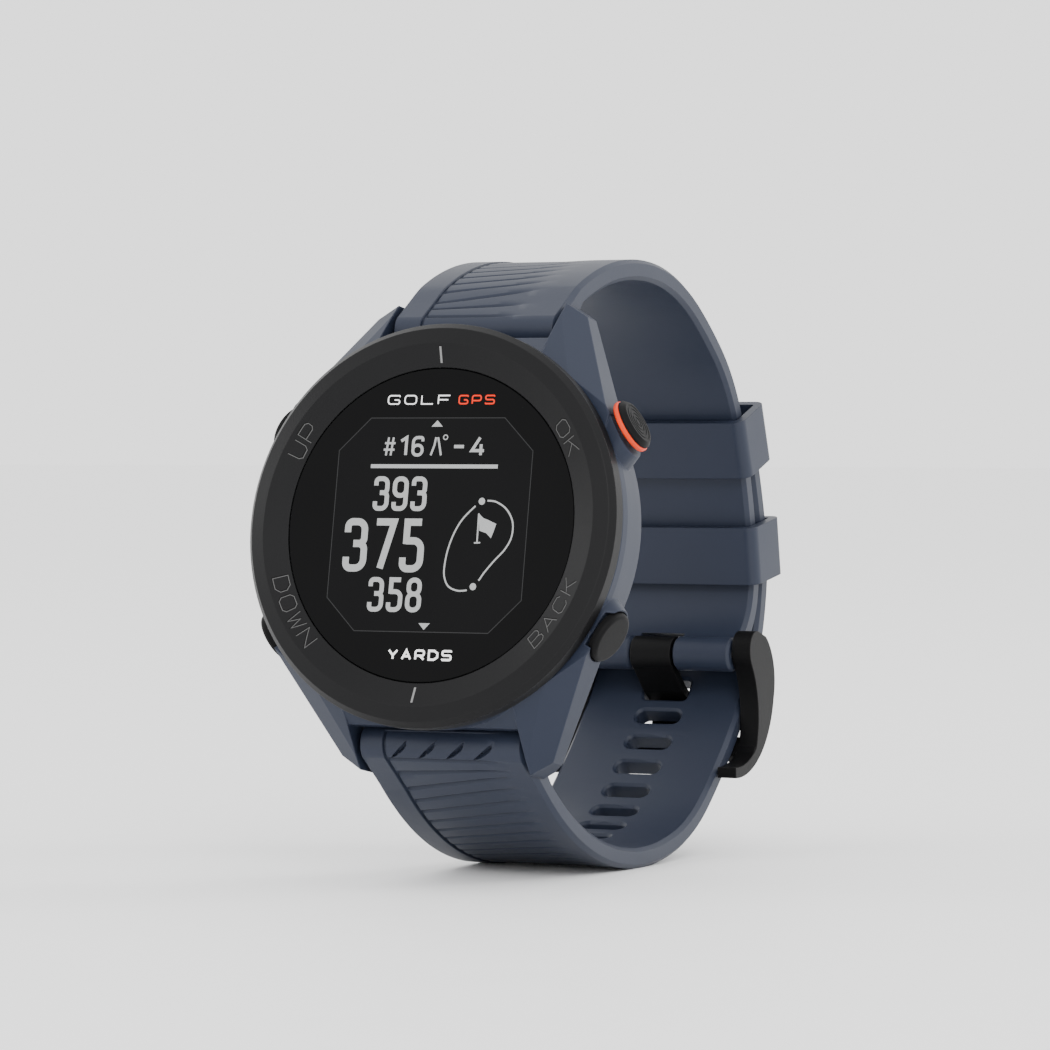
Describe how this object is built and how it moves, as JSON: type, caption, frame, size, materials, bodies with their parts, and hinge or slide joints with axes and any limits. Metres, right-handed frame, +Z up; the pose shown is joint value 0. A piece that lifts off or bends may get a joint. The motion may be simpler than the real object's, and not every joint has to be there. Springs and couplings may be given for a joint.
{
  "type": "golf gps watch",
  "caption": "Round golf GPS watch standing on its buckled strap, with side buttons, bezel ring, sliding keeper, pin buckle and quick-release spring bars.",
  "frame": {"origin": "centre of the bounding box in X and Y, on the floor under the strap", "axes": "+Z up; the dial looks along -Y and leans back by 10.2 degrees; +X is the 3 o'clock side of the dial"},
  "size_m": [0.0444, 0.075, 0.068],
  "materials": {
    "bezel_grey": "satin",
    "lens_glass": "gloss",
    "seal_black": "matte",
    "display_black": "matte",
    "frame_black": "matte",
    "flex_amber": "satin",
    "case_blue": "satin",
    "cover_blue": "satin",
    "screw_steel": "satin",
    "contact_gold": "polished",
    "board_green": "satin",
    "battery_foil": "satin",
    "foam_grey": "matte",
    "button_black": "satin",
    "accent_orange": "gloss",
    "strap_blue": "matte",
    "buckle_black": "matte"
  },
  "bodies": {
    "case": {"back_cover": "cover_blue", "back_screws": "screw_steel", "battery": "battery_foil", "battery_pad": "foam_grey", "bezel": "bezel_grey", "buckle_pin": "buckle_black", "case_seal": "seal_black", "charging_contacts": "contact_gold", "contact_block": "frame_black", "display_flex": "flex_amber", "display_frame": "frame_black", "display_module": "display_black", "fixed_keeper": "strap_blue", "gps_antenna": "flex_amber", "inner_chassis": "frame_black", "key_flex": "flex_amber", "key_switches": "screw_steel", "lens": "lens_glass", "lens_seal": "seal_black", "lower_bar_fixed_tip": "screw_steel", "lower_bar_spring": "screw_steel", "lower_bar_tube": "screw_steel", "lower_strap": "strap_blue", "main_board": "board_green", "mid_case": "case_blue", "shield_can": "screw_steel", "upper_bar_fixed_tip": "screw_steel", "upper_bar_spring": "screw_steel", "upper_bar_tube": "screw_steel", "upper_strap": "strap_blue"},
    "ok_button": {"ok_button_cap": "button_black", "ok_accent_ring": "accent_orange", "ok_button_stem": "screw_steel", "ok_button_seal": "seal_black", "ok_button_clip": "screw_steel"},
    "back_button": {"back_button_cap": "button_black", "back_button_stem": "screw_steel", "back_button_seal": "seal_black", "back_button_clip": "screw_steel"},
    "up_button": {"up_button_cap": "button_black", "up_button_stem": "screw_steel", "up_button_seal": "seal_black", "up_button_clip": "screw_steel"},
    "down_button": {"down_button_cap": "button_black", "down_button_stem": "screw_steel", "down_button_seal": "seal_black", "down_button_clip": "screw_steel"},
    "buckle": {"buckle_frame": "buckle_black"},
    "tongue": {"buckle_tongue": "buckle_black"},
    "sliding_keeper": {"sliding_keeper": "strap_blue"},
    "upper_release": {"upper_bar_release": "screw_steel"},
    "lower_release": {"lower_bar_release": "screw_steel"}
  },
  "joints": [
    {"name": "ok_press", "type": "slide", "parent": "case", "child": "ok_button", "axis": [-0.8746, -0.0859, -0.4771], "range_m": [0, 0.00035], "stiffness_N_per_m": 400, "springref_m": -0.002},
    {"name": "back_press", "type": "slide", "parent": "case", "child": "back_button", "axis": [-0.8746, 0.0859, 0.4771], "range_m": [0, 0.00035], "stiffness_N_per_m": 400, "springref_m": -0.002},
    {"name": "up_press", "type": "slide", "parent": "case", "child": "up_button", "axis": [0.8746, -0.0859, -0.4771], "range_m": [0, 0.00035], "stiffness_N_per_m": 400, "springref_m": -0.002},
    {"name": "down_press", "type": "slide", "parent": "case", "child": "down_button", "axis": [0.8746, 0.0859, 0.4771], "range_m": [0, 0.00035], "stiffness_N_per_m": 400, "springref_m": -0.002},
    {"name": "buckle_turn", "type": "hinge", "parent": "case", "child": "buckle", "pos_m": [-0.00039, 0.02549, 0.02284], "axis": [1, 0, 0], "range_deg": [0, 2]},
    {"name": "tongue_turn", "type": "hinge", "parent": "buckle", "child": "tongue", "pos_m": [-0.00039, 0.02549, 0.02284], "axis": [1, 0, 0], "range_deg": [0, 2]},
    {"name": "keeper_slide", "type": "slide", "parent": "case", "child": "sliding_keeper", "axis": [0, -0.1626, 0.9867], "range_m": [-0.0005, 0.0045]},
    {"name": "upper_release_slide", "type": "slide", "parent": "case", "child": "upper_release", "axis": [-1, 0, 0], "range_m": [0, 0.0012], "stiffness_N_per_m": 300, "springref_m": -0.002},
    {"name": "lower_release_slide", "type": "slide", "parent": "case", "child": "lower_release", "axis": [-1, 0, 0], "range_m": [0, 0.0012], "stiffness_N_per_m": 300, "springref_m": -0.002}
  ]
}
